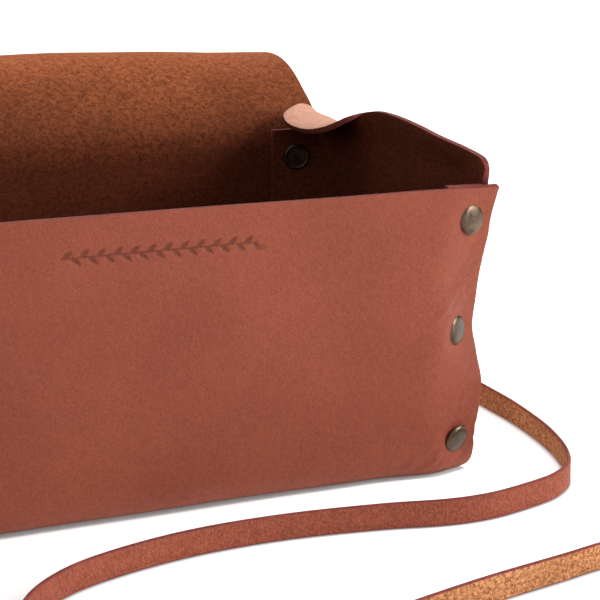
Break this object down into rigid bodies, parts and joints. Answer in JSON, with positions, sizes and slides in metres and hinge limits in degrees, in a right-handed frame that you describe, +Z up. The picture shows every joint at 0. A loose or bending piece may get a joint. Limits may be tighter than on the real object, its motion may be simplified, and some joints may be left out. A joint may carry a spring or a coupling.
{
  "type": "leather wash bag",
  "caption": "Open-topped rectangular leather wash bag with a folding lid, folding ears inside the ends, riveted corners and a long flat tie strap.",
  "frame": {"origin": "middle of the flat base's underside, on the surface the bag stands on", "axes": "+X along the bag towards its right end, +Y from the front panel to the back panel that carries the lid, +Z up"},
  "size_m": [0.3375, 0.3716, 0.1172],
  "materials": {
    "body_leather": "smooth terracotta vegetable-tanned grain, brown suede flesh side",
    "side_leather": "smooth terracotta grain outside, dark flesh side inside",
    "ear_leather": "smooth terracotta grain, burgundy cut edge",
    "lid_leather": "smooth terracotta grain, rough brown suede flesh side",
    "strap_leather": "smooth grain one side, light tan flesh on the other",
    "rivet_brass": "dark antique brass"
  },
  "bodies": {
    "bag": {"body_panel": "body_leather", "side_panel_right": "side_leather", "side_panel_left": "side_leather", "rivet_front_right_top_cap": "rivet_brass", "rivet_front_right_top_back": "rivet_brass", "rivet_front_right_middle_cap": "rivet_brass", "rivet_front_right_middle_back": "rivet_brass", "rivet_front_right_bottom_cap": "rivet_brass", "rivet_front_right_bottom_back": "rivet_brass", "rivet_rear_right_top_cap": "rivet_brass", "rivet_rear_right_top_back": "rivet_brass", "rivet_rear_right_middle_cap": "rivet_brass", "rivet_rear_right_middle_back": "rivet_brass", "rivet_rear_right_bottom_cap": "rivet_brass", "rivet_rear_right_bottom_back": "rivet_brass", "rivet_front_left_top_cap": "rivet_brass", "rivet_front_left_top_back": "rivet_brass", "rivet_front_left_middle_cap": "rivet_brass", "rivet_front_left_middle_back": "rivet_brass", "rivet_front_left_bottom_cap": "rivet_brass", "rivet_front_left_bottom_back": "rivet_brass", "rivet_rear_left_top_cap": "rivet_brass", "rivet_rear_left_top_back": "rivet_brass", "rivet_rear_left_middle_cap": "rivet_brass", "rivet_rear_left_middle_back": "rivet_brass", "rivet_rear_left_bottom_cap": "rivet_brass", "rivet_rear_left_bottom_back": "rivet_brass", "rivet_strap_cap": "rivet_brass", "rivet_strap_back": "rivet_brass", "strap": "strap_leather", "strap_coil": "strap_leather"},
    "lid_back": {"lid_back": "lid_leather"},
    "lid_crown": {"lid_crown": "lid_leather"},
    "lid_front": {"lid_front": "lid_leather"},
    "lid_drop": {"lid_drop": "lid_leather"},
    "ear_right": {"ear_right": "ear_leather"},
    "ear_left": {"ear_left": "ear_leather"}
  },
  "joints": [
    {"name": "lid_back_fold", "type": "hinge", "parent": "bag", "child": "lid_back", "pos_m": [0, 0.064, 0.0952], "axis": [1, 0, 0], "range_deg": [0, 142]},
    {"name": "lid_crown_fold", "type": "hinge", "parent": "lid_back", "child": "lid_crown", "pos_m": [0, 0.09281, 0.11517], "axis": [1, 0, 0], "range_deg": [0, 42]},
    {"name": "lid_front_fold", "type": "hinge", "parent": "lid_crown", "child": "lid_front", "pos_m": [0, 0.12773, 0.11273], "axis": [1, 0, 0], "range_deg": [0, 41]},
    {"name": "lid_drop_fold", "type": "hinge", "parent": "lid_front", "child": "lid_drop", "pos_m": [0, 0.1744, 0.06889], "axis": [1, 0, 0], "range_deg": [0, 123]},
    {"name": "ear_right_fold", "type": "hinge", "parent": "bag", "child": "ear_right", "pos_m": [0.1123, 0, 0.094], "axis": [0, -1, 0], "range_deg": [0, 90]},
    {"name": "ear_left_fold", "type": "hinge", "parent": "bag", "child": "ear_left", "pos_m": [-0.1123, 0, 0.094], "axis": [0, 1, 0], "range_deg": [0, 90]}
  ],
  "couplings": [
    {"joint": "lid_crown_fold", "follows": "lid_back_fold", "ratio": 0.29577},
    {"joint": "lid_front_fold", "follows": "lid_back_fold", "ratio": 0.28873},
    {"joint": "ear_right_fold", "follows": "lid_back_fold", "ratio": 0.6338},
    {"joint": "ear_left_fold", "follows": "lid_back_fold", "ratio": 0.6338}
  ]
}
